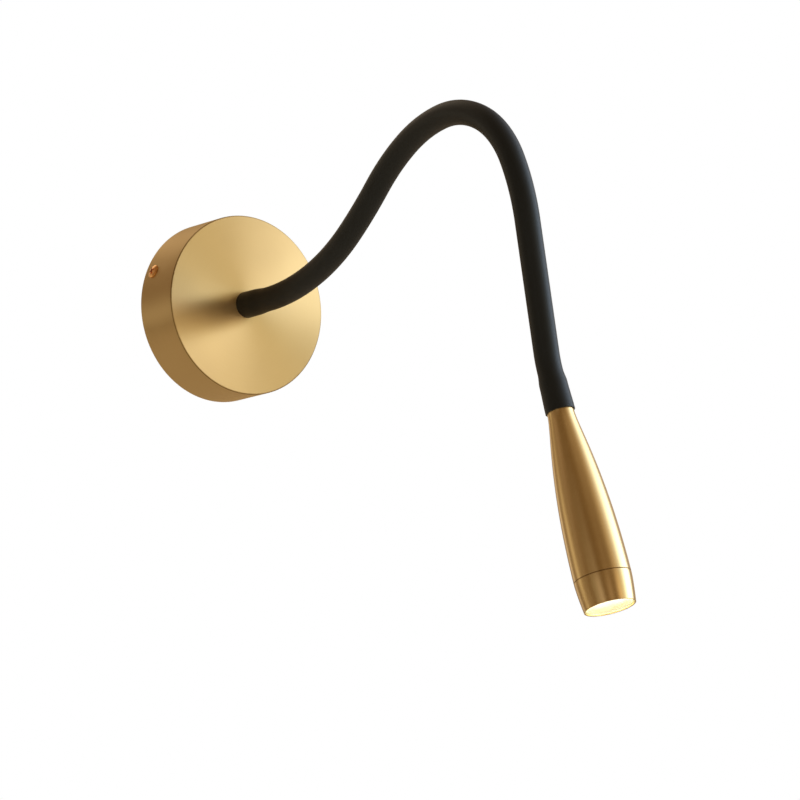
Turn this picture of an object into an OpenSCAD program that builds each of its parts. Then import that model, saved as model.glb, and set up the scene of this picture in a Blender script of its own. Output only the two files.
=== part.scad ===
// Wall reading lamp on a flexible neck: a round brass wall plate, a sleeved
// gooseneck that stays where it is bent, and a slim turned head with a built-in
// light. The wall is the plane y = 0, the lamp reaches out towards -Y and +Z is up.
// The origin is the centre of the wall bracket's back face. Sizes are in mm.

/* [Wall plate] */
// Outer diameter of the round wall plate
plate_d = 100; // [96:1:120]
// How far the plate's face stands off the wall
plate_depth = 30; // [29:1:40]
// Thickness of the plate's side wall
plate_wall = 2; // [1.6:0.1:2.4]
// Thickness of the plate's face
face_wall = 2; // [1.5:0.1:3]
// Chamfer round the edge of the face
edge_chamfer = 0.6; // [0.3:0.1:1.2]

/* [Side screws] */
// Tilt of the line through the two side screws, degrees
screw_tilt = 26; // [24:1:28]
// Height of the side screws off the wall
screw_height = 8; // [7:0.5:10]
// Thread diameter of the side screws
screw_d = 4; // [3:0.5:5]
// Head diameter of the side screws
screw_head_d = 7.6; // [6.6:0.2:9]
// Height of the tapered underside of the head
screw_cone = 1.5; // [1:0.1:1.8]
// Height of the rounded top of the head
screw_dome = 1.1; // [0.6:0.1:1.4]
// Length of the side screws' threads
screw_len = 10; // [8:0.5:14]

/* [Wall bracket] */
// Width of the steel strip
strip_w = 22; // [20:1:26]
// Thickness of the steel strip
strip_t = 2; // [1.5:0.1:2.4]
// Distance from each wall screw to where the strip starts to narrow
strip_shoulder = 6; // [5:0.5:7]
// Width of the bent tabs at its ends
tab_w = 12; // [10:0.5:14]
// How far the tabs reach off the wall
tab_reach = 15; // [13:0.5:20]
// Inner radius of the bends
tab_bend = 1.5; // [1:0.1:2]
// Circle that the two wall screws lie on
hole_circle = 64; // [58:1:68]
// Diameter of the wall screw holes
wall_hole_d = 5; // [4:0.2:6]
// Diameter of the hole for the supply cable
cable_hole_d = 12; // [10:0.5:13]
// Distance of the earth screw from the middle of the strip
earth_out = 17; // [16:0.5:20]

/* [Neck] */
// Length of each part of the neck between two bending places
neck_pitch = 34.8; // [30:0.2:40]
// Outer diameter of the rubber sleeve
sleeve_d = 13.3; // [13.2:0.1:14.4]
// Outer diameter of the wound steel core
core_d = 10.4; // [9.6:0.1:10.5]
// Bore of the core
core_bore = 6.4; // [6:0.1:7]
// Diameter of the two-core lead inside
lead_d = 5; // [4:0.1:5.4]
// Largest turn at one bending place, degrees
largest_turn = 25; // [20:1:34]

/* [Neck fittings] */
// Length of the straight steel fitting at the wall plate
base_fitting = 20; // [18:0.5:26]
// Outer diameter of the fitting at the wall plate
base_fitting_d = 12.4; // [12.2:0.1:13]
// Sleeve diameter where it meets the wall plate
base_sleeve_d = 14.6; // [14.4:0.1:16]
// Length of the straight steel fitting at the head
head_fitting = 22; // [20:0.5:28]
// Outer diameter of the fitting at the head
head_fitting_d = 13.2; // [12.8:0.1:13.6]
// Sleeve diameter where it meets the head
head_sleeve_d = 15.5; // [15.2:0.1:16.5]
// Thread diameter of both fittings
fitting_thread_d = 10; // [9.6:0.1:10.4]
// Length of the thread behind the plate's face
fitting_thread = 14; // [12:0.5:14]
// Length of the thread in the head
head_thread = 10; // [8:0.5:11]
// Depth of the socket that grips the core
socket_depth = 12; // [9:0.5:13]
// Thickness of the flat washer
washer_t = 1; // [0.8:0.1:1.5]
// Diameter of the flat washer
washer_d = 20; // [18:0.5:22]
// Thickness of the toothed washer
lock_t = 0.8; // [0.6:0.1:1]
// Thickness of the nut
nut_t = 4; // [3:0.2:5]
// Width of the nut across its flats
nut_flats = 14; // [13:0.5:17]

/* [Power supply] */
// Length of the driver's case
driver_w = 50; // [48:1:54]
// Height of the driver's case
driver_h = 20; // [18:0.5:20.5]
// Depth of the driver's case
driver_t = 22; // [21:0.5:22.5]
// Distance of the driver below the neck's axis
driver_drop = 13; // [12.5:0.5:14.5]
// Thickness of the adhesive pad that holds the driver
pad_t = 0.8; // [0.5:0.1:1.2]
// Length of the terminal block along the strip
block_w = 12; // [11:0.5:14]
// Width of the terminal block across the strip
block_v = 11; // [10:0.5:14]
// Height of the terminal block
block_t = 10; // [8:0.5:12]
// Distance between its two poles
pole_pitch = 5; // [4.8:0.1:5.4]
// Diameter of its clamp screws
clamp_d = 3.6; // [3:0.2:3.8]
// Diameter of the supply wires, with their insulation
wire_d = 2; // [1.6:0.1:2.4]

/* [Head] */
// Length of the turned shell
shell_len = 90; // [84:1:100]
// Length of the screwed front ring
bezel_len = 16; // [15:0.5:20]
// Largest diameter of the head
head_d = 29.9; // [29.6:0.1:34]
// Diameter of the head where it meets the sleeve
head_neck_d = 14; // [13.6:0.1:14.6]
// Diameter of the front rim
rim_d = 27; // [26.8:0.1:27.8]
// Wall of the shell
shell_wall = 2.2; // [1.8:0.1:2.4]
// Length of the thread under the front ring
bezel_thread = 7; // [5:0.5:8]
// Clear opening in the front rim
opening_d = 25.7; // [25:0.1:25.8]
// Thickness of the lip that holds the lens
lip_t = 0.8; // [0.6:0.1:1.2]

/* [Light] */
// Thickness of the lens
lens_t = 1.8; // [1.5:0.1:2.2]
// Thickness of the gasket behind the lens
gasket_t = 0.6; // [0.4:0.1:0.8]
// Thickness of the reflector's wall
reflector_t = 0.8; // [0.6:0.1:0.9]
// Opening at the small end of the reflector
reflector_base_d = 8.6; // [8.4:0.1:9.2]
// Diameter of the light source
emitter_d = 7.6; // [6:0.2:8]
// Thickness of the circuit board
board_t = 1.6; // [1:0.1:2]
// Diameter of the circuit board
board_d = 22; // [21:0.5:23]
// Length of the finned part of the heat sink
fins_len = 18; // [12:1:22]
// Number of slots between the fins
fin_count = 12; // [8:1:14]
// Thickness of the heat sink's flange
flange_t = 3; // [2:0.2:4]
// Distance of the heat sink's seat behind the front edge of the shell
sink_inset = 20; // [18:0.5:24]
// Diameter of the board's screws
board_screw_d = 2; // [1.6:0.2:2.2]

/* [Hidden] */
// Degrees that each part of the neck is bent by in this pose, upwards positive
neck_bends = [6.5, 12, 13.5, 6, -13.5, -19.5, -33, -39.5, -18, 0, 0, 9.5];
// Running lengths of the first and last part, which end in a straight fitting
root_run = neck_pitch / 2;
tip_run = neck_pitch * 0.3;
last = len(neck_bends) - 1;

// Clearances
play = 0.05;         // between parts that screw or press together, each side
slip = 0.1;          // between the sleeve, the core and what they slide over
hole_play = 0.2;     // round a screw that passes through, each side
station_gap = 0.3;   // left between two core ends at their largest turn
sleeve_seam = 0.02;  // between neighbouring lengths of the sleeve

plate_r = plate_d / 2;
inner_r = plate_r - plate_wall;
face_back = plate_depth - face_wall;
core_trim = core_d / 2 * tan(largest_turn / 2) + station_gap / 2;
sleeve_bore_d = core_d + 2 * slip;
taper_r = core_d / 2 + play + 0.6;  // small end of the taper that the sleeve climbs onto
taper_len = 6;

tab_out = sqrt(pow(inner_r - hole_play, 2) - pow(tab_w / 2, 2));
block_u = cable_hole_d / 2 + 0.5 + block_w / 2;
wire_level = strip_t + block_t / 2;

nut_back = face_back - washer_t - lock_t;
thread_end = plate_depth - fitting_thread;
grip_t = 2;
grip_spigot = 3;
lead_turn = 6;       // bend radius of the lead behind the fitting
lead_fall = thread_end - grip_t - lead_turn;

shell_front = shell_len + bezel_thread;
head_len = shell_len + bezel_len;
thread_r = head_d / 2 - 1.35;
pocket_r = opening_d / 2 + 0.2;
lens_front = head_len - lip_t;
lens_back = lens_front - lens_t;
gasket_back = lens_back - gasket_t;
bore_r = pocket_r - 0.65;
sink_seat = shell_len - sink_inset;
board_back = sink_seat + flange_t;
board_front = board_back + board_t;
reflector_base = board_front + 0.9;

$fn = 64;

brass = [0.80, 0.66, 0.38];
steel = [0.66, 0.67, 0.69];
black_rubber = [0.12, 0.12, 0.12];
nylon = [0.90, 0.90, 0.86];

// Where the neck runs

function run_of(i) = i == 0 ? root_run : i == last ? tip_run : neck_pitch;
// Heading at the start of part i, degrees above straight out
function heading(i) = i == 0 ? 0 : heading(i - 1) + neck_bends[i - 1];
// Straight distance between the ends of part i
function chord(i) = abs(neck_bends[i]) < 0.01 ? run_of(i)
    : 2 * run_of(i) * sin(neck_bends[i] / 2) / (neck_bends[i] * PI / 180);
function chord_dir(i) = heading(i) + neck_bends[i] / 2;
// Start of part i as [y, z]
function place(i) = i == 0 ? [-(plate_depth + base_fitting), 0]
    : place(i - 1) + chord(i - 1) * [-cos(chord_dir(i - 1)), sin(chord_dir(i - 1))];

// Puts local +Z along the neck at the start of part i, local +Y on its upper side
module along(i) {
    translate([0, place(i)[0], place(i)[1]]) rotate([90 - heading(i), 0, 0]) children();
}

// Local +Z straight out from the wall
module outward() {
    rotate([90, 0, 0]) children();
}

// As outward, with local +X along the strip towards the left side screw
module strip_frame() {
    outward() rotate([0, 0, 180 - screw_tilt]) children();
}

// Local +Z pointing out along each side screw, from the plate's axis
module at_side_screws() {
    for (turn = [0, 180])
        strip_frame() rotate([0, 0, turn]) translate([0, 0, screw_height])
            rotate([0, 90, 0]) children();
}

// Local +Z along the head, zero at the end of the sleeve
module head_frame() {
    along(last + 1) translate([0, 0, head_fitting]) children();
}

// A length of round tube or bar along part i, between two distances on its run
module neck_piece(i, outer, bore, from, to) {
    bend = neck_bends[i];
    if (abs(bend) < 0.01)
        translate([0, 0, from]) linear_extrude(to - from) ring_2d(outer, bore);
    else {
        radius = run_of(i) / (abs(bend) * PI / 180);
        start = abs(bend) * from / run_of(i);
        sweep = abs(bend) * (to - from) / run_of(i);
        mirror([0, bend < 0 ? 1 : 0, 0])
            translate([0, radius, 0]) rotate([0, -90, 0]) rotate([0, 0, start - 90])
                rotate_extrude(angle = sweep) translate([radius, 0]) ring_2d(outer, bore);
    }
}

module ring_2d(outer, bore) {
    difference() {
        circle(d = outer);
        if (bore > 0) circle(d = bore);
    }
}

module ring(outer, bore, low, high) {
    translate([0, 0, low]) linear_extrude(high - low) ring_2d(outer, bore);
}

module rounded_square(w, h, r) {
    square([w - 2 * r, h], center = true);
    square([w, h - 2 * r], center = true);
    for (x = [-1, 1], y = [-1, 1])
        translate([x * (w / 2 - r), y * (h / 2 - r)]) circle(r);
}

// Wall bracket and plate

module wall_bracket() {
    color(steel) strip_frame() difference() {
        union() {
            linear_extrude(strip_t) polygon([
                [-tab_out + strip_t + tab_bend, -tab_w / 2], [-hole_circle / 2 - strip_shoulder, -strip_w / 2],
                [hole_circle / 2 + strip_shoulder, -strip_w / 2], [tab_out - strip_t - tab_bend, -tab_w / 2],
                [tab_out - strip_t - tab_bend, tab_w / 2], [hole_circle / 2 + strip_shoulder, strip_w / 2],
                [-hole_circle / 2 - strip_shoulder, strip_w / 2], [-tab_out + strip_t + tab_bend, tab_w / 2]]);
            for (side = [0, 180]) rotate([0, 0, side]) bent_tab();
        }
        for (side = [-1, 1]) translate([side * hole_circle / 2, 0, -1])
            cylinder(d = wall_hole_d, h = strip_t + 2);
        translate([0, 0, -1]) cylinder(d = cable_hole_d, h = strip_t + 2);
        translate([-earth_out, 0, -1]) cylinder(d = screw_d + 2 * play, h = strip_t + 2);
        for (side = [0, 180]) rotate([0, 0, side])
            translate([tab_out - strip_t - 1, 0, screw_height]) rotate([0, 90, 0])
                cylinder(d = screw_d + 2 * play, h = strip_t + 2);
    }
}

// Quarter bend and upright tab at the +X end of the strip
module bent_tab() {
    bend_r = strip_t + tab_bend;
    translate([tab_out - bend_r, tab_w / 2, bend_r]) rotate([90, 0, 0])
        linear_extrude(tab_w) {
            intersection() {
                ring_2d(2 * bend_r, 2 * tab_bend);
                translate([0, -bend_r]) square(bend_r);
            }
            translate([tab_bend, 0]) square([strip_t, tab_reach - bend_r]);
        }
}

module wall_plate() {
    color(brass) difference() {
        outward() rotate_extrude($fn = 128) polygon([
            [fitting_thread_d / 2 + hole_play, face_back], [inner_r, face_back],
            [inner_r, 0], [plate_r, 0], [plate_r, plate_depth - edge_chamfer],
            [plate_r - edge_chamfer, plate_depth],
            [fitting_thread_d / 2 + hole_play, plate_depth]]);
        // Countersunk holes for the side screws
        at_side_screws() rotate_extrude() polygon([
            [0, inner_r - 2], [screw_d / 2 + hole_play, inner_r - 2],
            [screw_d / 2 + hole_play, plate_r - screw_cone],
            [screw_head_d / 2 + hole_play, plate_r], [screw_head_d / 2 + hole_play, plate_r + 2],
            [0, plate_r + 2]]);
    }
}

module side_screws() {
    dome_r = (pow(screw_head_d / 2, 2) + pow(screw_dome, 2)) / (2 * screw_dome);
    color([0.78, 0.50, 0.30]) at_side_screws() translate([0, 0, plate_r]) difference() {
        union() {
            translate([0, 0, -screw_cone - screw_len]) cylinder(d = screw_d, h = screw_len);
            translate([0, 0, -screw_cone]) cylinder(d1 = screw_d, d2 = screw_head_d, h = screw_cone);
            intersection() {
                translate([0, 0, screw_dome - dome_r]) sphere(dome_r);
                cylinder(d = screw_head_d, h = screw_dome);
            }
        }
        for (turn = [0, 90]) rotate([0, 0, turn])
            translate([0, 0, screw_dome / 2]) cube([screw_head_d * 0.55, 1, 2.4], center = true);
    }
}

// Fitting at the wall plate and what holds it

module base_fitting() {
    color(steel) outward() difference() {
        union() {
            translate([0, 0, thread_end]) cylinder(d = fitting_thread_d, h = fitting_thread);
            translate([0, 0, plate_depth]) cylinder(d = base_fitting_d, h = base_fitting - slip);
        }
        translate([0, 0, thread_end - 1]) cylinder(d = core_bore, h = fitting_thread + base_fitting + 2);
        translate([0, 0, plate_depth + base_fitting - socket_depth])
            cylinder(d = core_d + 2 * play, h = socket_depth + 1);
    }
}

module flat_washer() {
    color(steel) outward()
        ring(washer_d, fitting_thread_d + 2 * hole_play, face_back - washer_t, face_back);
}

module toothed_washer() {
    teeth = 12;
    outer = washer_d - 3;
    color(steel) outward() translate([0, 0, nut_back]) linear_extrude(lock_t) difference() {
        ring_2d(outer, fitting_thread_d + 2 * hole_play);
        for (i = [0 : teeth - 1]) rotate(i * 360 / teeth) translate([outer / 2, 0]) circle(d = 1.6);
    }
}

module fitting_nut() {
    color([0.80, 0.72, 0.52]) outward() translate([0, 0, nut_back - nut_t]) difference() {
        cylinder(d = nut_flats / cos(30), h = nut_t, $fn = 6);
        translate([0, 0, -1]) cylinder(d = fitting_thread_d + 2 * play, h = nut_t + 2);
    }
}

module cord_grip() {
    color(nylon) outward() difference() {
        union() {
            translate([0, 0, thread_end - grip_t]) cylinder(d = fitting_thread_d - 0.8, h = grip_t);
            translate([0, 0, thread_end]) cylinder(d = core_bore - 2 * play, h = grip_spigot);
        }
        translate([0, 0, thread_end - grip_t - 1])
            cylinder(d = lead_d + 2 * play, h = grip_t + grip_spigot + 2);
    }
}

// Power supply

module led_driver() {
    color([0.93, 0.93, 0.92]) difference() {
        translate([0, -face_back + pad_t, -driver_drop - driver_h / 2]) rotate([-90, 0, 0])
            linear_extrude(driver_t) rounded_square(driver_w, driver_h, 2);
        // Step that the potted back cover sits in
        translate([0, -face_back + pad_t + driver_t, -driver_drop - driver_h / 2])
            cube([driver_w - 6, 1.2, driver_h - 6], center = true);
    }
}

module driver_pad() {
    color([0.25, 0.25, 0.27]) translate([0, -face_back, -driver_drop - driver_h / 2])
        rotate([-90, 0, 0]) linear_extrude(pad_t) rounded_square(driver_w - 6, driver_h - 4, 2);
}

module at_poles() {
    for (side = [-1, 1]) translate([block_u + side * pole_pitch / 2, 0, 0]) children();
}

module terminal_block() {
    color(nylon) strip_frame() difference() {
        translate([block_u - block_w / 2, -block_v / 2, strip_t]) cube([block_w, block_v, block_t]);
        at_poles() {
            translate([0, 0, wire_level]) rotate([90, 0, 0])
                cylinder(d = wire_d + 1, h = block_v + 2, center = true);
            translate([0, 0, wire_level]) cylinder(d = clamp_d + 2 * play, h = block_t);
        }
        translate([block_u - 0.5, -block_v / 2 - 1, strip_t + block_t - 2])
            cube([1, block_v + 2, 3]);
    }
}

module terminal_screws() {
    color([0.80, 0.72, 0.52]) strip_frame() at_poles()
        translate([0, 0, wire_level + wire_d / 2]) difference() {
            cylinder(d = clamp_d, h = 3);
            translate([0, 0, 3]) cube([5, 0.7, 1.6], center = true);
        }
}

// Slotted screw with its washer held captive under the head
module earth_screw() {
    color(steel) strip_frame() translate([-earth_out, 0, 0]) difference() {
        union() {
            cylinder(d = screw_d, h = strip_t + 1);
            translate([0, 0, strip_t]) cylinder(d = 9, h = 1);
            translate([0, 0, strip_t + 1]) cylinder(d = 7.2, h = 2.6);
        }
        translate([0, 0, strip_t + 3.6]) cube([9, 1, 2.4], center = true);
    }
}

// Two wires from the terminal block down to the driver's top
module supply_wires() {
    color([0.35, 0.45, 0.65]) difference() {
        strip_frame() at_poles() translate([0, 1, wire_level]) rotate([-90, 0, 0])
            cylinder(d = wire_d, h = 40);
        translate([-plate_d, -plate_d, -driver_drop - plate_d]) cube([2 * plate_d, 2 * plate_d, plate_d]);
    }
}

// Neck

// Steel core of part i, trimmed where it meets a bending place
module neck_core(i) {
    color([0.55, 0.56, 0.58])
        if (i == last) along(last + 1) {
            // Drawn back from its far end, so that it meets the straight stretch there
            mirror([0, 0, 1]) neck_piece(i, core_d, core_bore, 0, run_of(i) - core_trim);
            ring(core_d, core_bore, 0, socket_depth);
        }
        else along(i) {
            neck_piece(i, core_d, core_bore, i == 0 ? 0 : core_trim, run_of(i) - core_trim);
            if (i == 0) ring(core_d, core_bore, -socket_depth, 0);
        }
}

// Rubber sleeve of part i, with its ends stretched over the fittings
module neck_sleeve(i) {
    cut = sleeve_seam / 2;
    fitted_r = base_fitting_d / 2 + slip;
    color(black_rubber)
        if (i == last) along(last + 1) {
            mirror([0, 0, 1]) neck_piece(i, sleeve_d, sleeve_bore_d, 0, run_of(i) - cut);
            rotate_extrude() polygon([
                [sleeve_bore_d / 2, 0], [sleeve_d / 2, 0], [head_sleeve_d / 2 - 0.4, taper_len + 1],
                [head_sleeve_d / 2, head_fitting], [head_fitting_d / 2 + slip, head_fitting],
                [head_fitting_d / 2 + slip, taper_len], [taper_r + slip, 0.01],
                [sleeve_bore_d / 2, 0.01]]);
        }
        else along(i) {
            neck_piece(i, sleeve_d, sleeve_bore_d, i == 0 ? 0 : cut, run_of(i) - cut);
            if (i == 0) rotate_extrude() polygon([
                [fitted_r, -base_fitting], [base_sleeve_d / 2, -base_fitting],
                [base_sleeve_d / 2 - 0.1, -base_fitting / 2], [sleeve_d / 2, 0],
                [sleeve_bore_d / 2, 0], [sleeve_bore_d / 2, -0.01], [fitted_r, -0.01]]);
        }
}

// Two-core lead inside: from the driver into the neck, along it, and on to the light's board
module neck_lead(i) {
    cut = sleeve_seam / 2;
    through = grip_t + fitting_thread + base_fitting;
    color([0.92, 0.92, 0.90]) {
        if (i == 0) {
            translate([0, -lead_fall, -driver_drop])
                cylinder(d = lead_d, h = driver_drop - lead_turn);
            translate([0, -lead_fall - lead_turn, -lead_turn]) rotate([0, -90, 0])
                rotate_extrude(angle = 90) translate([lead_turn, 0]) circle(d = lead_d);
        }
        if (i == last) along(last + 1) {
            mirror([0, 0, 1]) neck_piece(i, lead_d, 0, 0, run_of(i) - cut);
            cylinder(d = lead_d, h = head_fitting + board_back);
        }
        else along(i) {
            neck_piece(i, lead_d, 0, i == 0 ? 0 : cut, run_of(i) - cut);
            if (i == 0) translate([0, 0, -through]) cylinder(d = lead_d, h = through);
        }
    }
}

// Head

module head_fitting() {
    color(steel) head_frame() difference() {
        union() {
            rotate_extrude() polygon([
                [0, slip - head_fitting], [taper_r, slip - head_fitting],
                [head_fitting_d / 2, taper_len - head_fitting], [head_fitting_d / 2, 0], [0, 0]]);
            cylinder(d = fitting_thread_d, h = head_thread);
        }
        translate([0, 0, -head_fitting - 1]) cylinder(d = core_bore, h = head_fitting + head_thread + 2);
        translate([0, 0, -head_fitting - 1]) cylinder(d = core_d + 2 * play, h = socket_depth + 1);
    }
}

// Outline of the shell as [radius, distance], a smooth curve from neck to widest
function flank(t) = let (a = 1 - t)
    a * a * a * [head_neck_d / 2, 0]
    + 3 * a * a * t * [head_neck_d / 2 - 0.2, shell_len * 0.1]
    + 3 * a * t * t * [head_d / 2, shell_len * 0.38]
    + t * t * t * [head_d / 2, shell_len];
// Radius of the shell's outside at a distance, from the curve by halving
function flank_t(s, low = 0, high = 1, n = 18) = n == 0 ? (low + high) / 2
    : let (mid = (low + high) / 2) flank(mid)[1] < s ? flank_t(s, mid, high, n - 1)
    : flank_t(s, low, mid, n - 1);
function flank_r(s) = flank(flank_t(s))[0];

module head_shell() {
    steps = 24;
    cavity_start = head_thread + 5;
    color(brass) head_frame() rotate_extrude($fn = 96) polygon(concat(
        [for (k = [0 : steps]) flank(k / steps)],
        [[thread_r, shell_len], [thread_r, shell_front], [bore_r, shell_front],
         [bore_r, sink_seat], [bore_r - 1, sink_seat], [bore_r - 1, sink_seat - 4]],
        [for (k = [0 : 10]) let (s = sink_seat - 4 - k / 10 * (sink_seat - 4 - cavity_start))
            [min(bore_r - 1, flank_r(s) - shell_wall), s]],
        [[fitting_thread_d / 2 + play, cavity_start - 1.5], [fitting_thread_d / 2 + play, 0]]));
}

// Outline of the front ring as [radius, distance]
function ring_flank(t) = let (a = 1 - t)
    a * a * [head_d / 2, shell_len] + 2 * a * t * [head_d / 2, shell_len + bezel_len * 0.3]
    + t * t * [rim_d / 2, head_len];

module bezel() {
    steps = 10;
    color(brass) head_frame() rotate_extrude($fn = 96) polygon(concat(
        [for (k = [0 : steps]) ring_flank(k / steps)],
        [[opening_d / 2, head_len], [opening_d / 2, lens_front], [pocket_r, lens_front],
         [pocket_r, shell_front + play], [thread_r + play, shell_front + play],
         [thread_r + play, shell_len + play], [head_d / 2 - 0.15, shell_len + play]]));
}

module heat_sink() {
    core_r = bore_r - 2.4;
    color([0.78, 0.79, 0.80]) head_frame() difference() {
        union() {
            translate([0, 0, sink_seat]) cylinder(r = bore_r - play, h = flange_t);
            translate([0, 0, sink_seat - fins_len]) cylinder(r = core_r, h = fins_len);
        }
        translate([0, 0, sink_seat - fins_len - 1]) cylinder(d = lead_d + 1, h = fins_len + flange_t + 2);
        for (i = [0 : fin_count - 1]) rotate([0, 0, (i + 0.5) * 360 / fin_count])
            translate([core_r - 3, -0.7, sink_seat - fins_len - 1]) cube([6, 1.4, fins_len]);
        at_board_screws() translate([0, 0, board_back - 5]) cylinder(d = board_screw_d + 2 * play, h = 6);
    }
}

module at_board_screws() {
    for (side = [0, 180]) rotate([0, 0, side]) translate([board_d / 2 - 3, 0, 0]) children();
}

module led_board() {
    color([0.95, 0.96, 0.97]) head_frame() difference() {
        translate([0, 0, board_back]) cylinder(d = board_d, h = board_t);
        at_board_screws() translate([0, 0, board_back - 1]) cylinder(d = board_screw_d + 2 * hole_play, h = board_t + 2);
    }
}

module board_screws() {
    color(steel) head_frame() at_board_screws() {
        translate([0, 0, board_back - 4]) cylinder(d = board_screw_d, h = 4 + board_t);
        translate([0, 0, board_front]) cylinder(d = 3.6, h = 1.2);
    }
}

module led_emitter() {
    color([1.0, 0.93, 0.62]) head_frame() {
        translate([0, 0, board_front]) cylinder(d = emitter_d, h = 0.6);
        translate([0, 0, board_front + 0.6]) cylinder(d1 = emitter_d - 1, d2 = emitter_d - 2, h = 0.5);
    }
}

// Inside of the reflector: its radius grows as the root of the distance
function mirror_r(s) = sqrt(pow(reflector_base_d / 2, 2) + (s - reflector_base)
    * (pow(pocket_r - 0.8, 2) - pow(reflector_base_d / 2, 2)) / (gasket_back - reflector_base));

module reflector() {
    steps = 12;
    span = gasket_back - reflector_base;
    skirt_back = shell_front + play;
    color([0.96, 0.93, 0.78]) head_frame() rotate_extrude($fn = 96) polygon(concat(
        [for (k = [0 : steps]) let (s = reflector_base + span * k / steps) [mirror_r(s), s]],
        [[pocket_r - play, gasket_back], [pocket_r - play, skirt_back],
         [mirror_r(skirt_back) + reflector_t, skirt_back]],
        [for (k = [steps : -1 : 0]) let (s = reflector_base + (skirt_back - 1 - reflector_base) * k / steps)
            [mirror_r(s) + reflector_t, s]]));
}

module lens_gasket() {
    color([0.15, 0.15, 0.15]) head_frame()
        ring(2 * pocket_r - 2 * play, 2 * pocket_r - 1.4, gasket_back, lens_back);
}

module lens() {
    color([0.95, 0.97, 1.0, 0.4]) head_frame()
        translate([0, 0, lens_back]) cylinder(r = pocket_r - play, h = lens_t, $fn = 96);
}

wall_bracket();
wall_plate();
side_screws();
base_fitting();
flat_washer();
toothed_washer();
fitting_nut();
cord_grip();
led_driver();
driver_pad();
terminal_block();
terminal_screws();
earth_screw();
supply_wires();
for (i = [0 : last]) {
    neck_lead(i);
    neck_core(i);
    neck_sleeve(i);
}
head_fitting();
head_shell();
heat_sink();
led_board();
board_screws();
led_emitter();
reflector();
lens_gasket();
lens();
bezel();
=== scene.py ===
import math
import bmesh
import bpy
from mathutils import Matrix, Vector


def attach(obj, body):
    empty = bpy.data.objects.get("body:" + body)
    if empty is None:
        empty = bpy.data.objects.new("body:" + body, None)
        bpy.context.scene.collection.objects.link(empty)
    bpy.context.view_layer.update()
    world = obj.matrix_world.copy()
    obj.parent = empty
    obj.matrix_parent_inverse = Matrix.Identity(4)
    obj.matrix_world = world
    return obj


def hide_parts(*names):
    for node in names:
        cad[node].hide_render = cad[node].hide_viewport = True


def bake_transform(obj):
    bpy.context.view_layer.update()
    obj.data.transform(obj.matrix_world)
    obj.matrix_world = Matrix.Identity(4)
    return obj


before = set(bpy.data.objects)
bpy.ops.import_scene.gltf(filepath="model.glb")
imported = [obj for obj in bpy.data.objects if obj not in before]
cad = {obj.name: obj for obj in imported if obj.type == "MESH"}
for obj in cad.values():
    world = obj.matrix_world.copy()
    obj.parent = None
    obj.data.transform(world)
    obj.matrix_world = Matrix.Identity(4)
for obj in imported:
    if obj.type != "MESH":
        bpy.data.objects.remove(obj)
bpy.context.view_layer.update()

scene = bpy.context.scene
scene.view_settings.view_transform = "Standard"
scene.view_settings.look = "None"


# Unit vector by degrees to the right of straight out from the wall, and degrees up
def pointing(azimuth, elevation):
    a, e = math.radians(azimuth), math.radians(elevation)
    return Vector((math.sin(a) * math.cos(e), -math.cos(a) * math.cos(e), math.sin(e)))


# Fitted to the outlines in the photo: lens and sensor in mm, the rest in degrees and metres
cameraSet = {
    "lens": 242.89, "sensor": 36, "azimuth": -36.14, "elevation": -6.0, "roll": -5.18,
    "shiftRight": -0.10179, "shiftUp": 0.04831, "distance": 3.0, "clipFrom": 0.1, "clipTo": 50,
}


def makeCamera(s):
    a, r = math.radians(s["azimuth"]), math.radians(s["roll"])
    back = pointing(s["azimuth"], s["elevation"])
    flat = Vector((math.cos(a), math.sin(a), 0))
    tall = back.cross(flat)
    right = flat * math.cos(r) + tall * math.sin(r)
    up = tall * math.cos(r) - flat * math.sin(r)
    data = bpy.data.cameras.new("camera")
    data.sensor_width = s["sensor"]
    data.lens = s["lens"]
    data.clip_start, data.clip_end = s["clipFrom"], s["clipTo"]
    cam = bpy.data.objects.new("camera", data)
    turn = Matrix((right, up, back)).transposed()
    place = back * s["distance"] - right * s["shiftRight"] - up * s["shiftUp"]
    cam.matrix_world = Matrix.Translation(place) @ turn.to_4x4()
    scene.collection.objects.link(cam)
    scene.camera = cam


# A node group with its nodes, its links, its input node and its output node
def newGroup(name, ins, outs):
    group = bpy.data.node_groups.new(name, "ShaderNodeTree")
    for label, kind, value in ins:
        socket = group.interface.new_socket(label, in_out="INPUT", socket_type=kind)
        if value is not None:
            socket.default_value = value
    for label, kind in outs:
        group.interface.new_socket(label, in_out="OUTPUT", socket_type=kind)
    a, b = group.nodes.new("NodeGroupInput"), group.nodes.new("NodeGroupOutput")
    return group, group.nodes, group.links, a, b


def operator(n, kind, operation):
    node = n.new("ShaderNode" + kind)
    node.operation = operation
    return node


# A vector laid flat on the local XY plane, and its distance from the local Z axis
def flattened(n, l, vector):
    flat = operator(n, "VectorMath", "MULTIPLY")
    flat.inputs[1].default_value = (1, 1, 0)
    l.new(vector, flat.inputs[0])
    radius = operator(n, "VectorMath", "LENGTH")
    l.new(flat.outputs[0], radius.inputs[0])
    return flat.outputs[0], radius.outputs["Value"]


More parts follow.
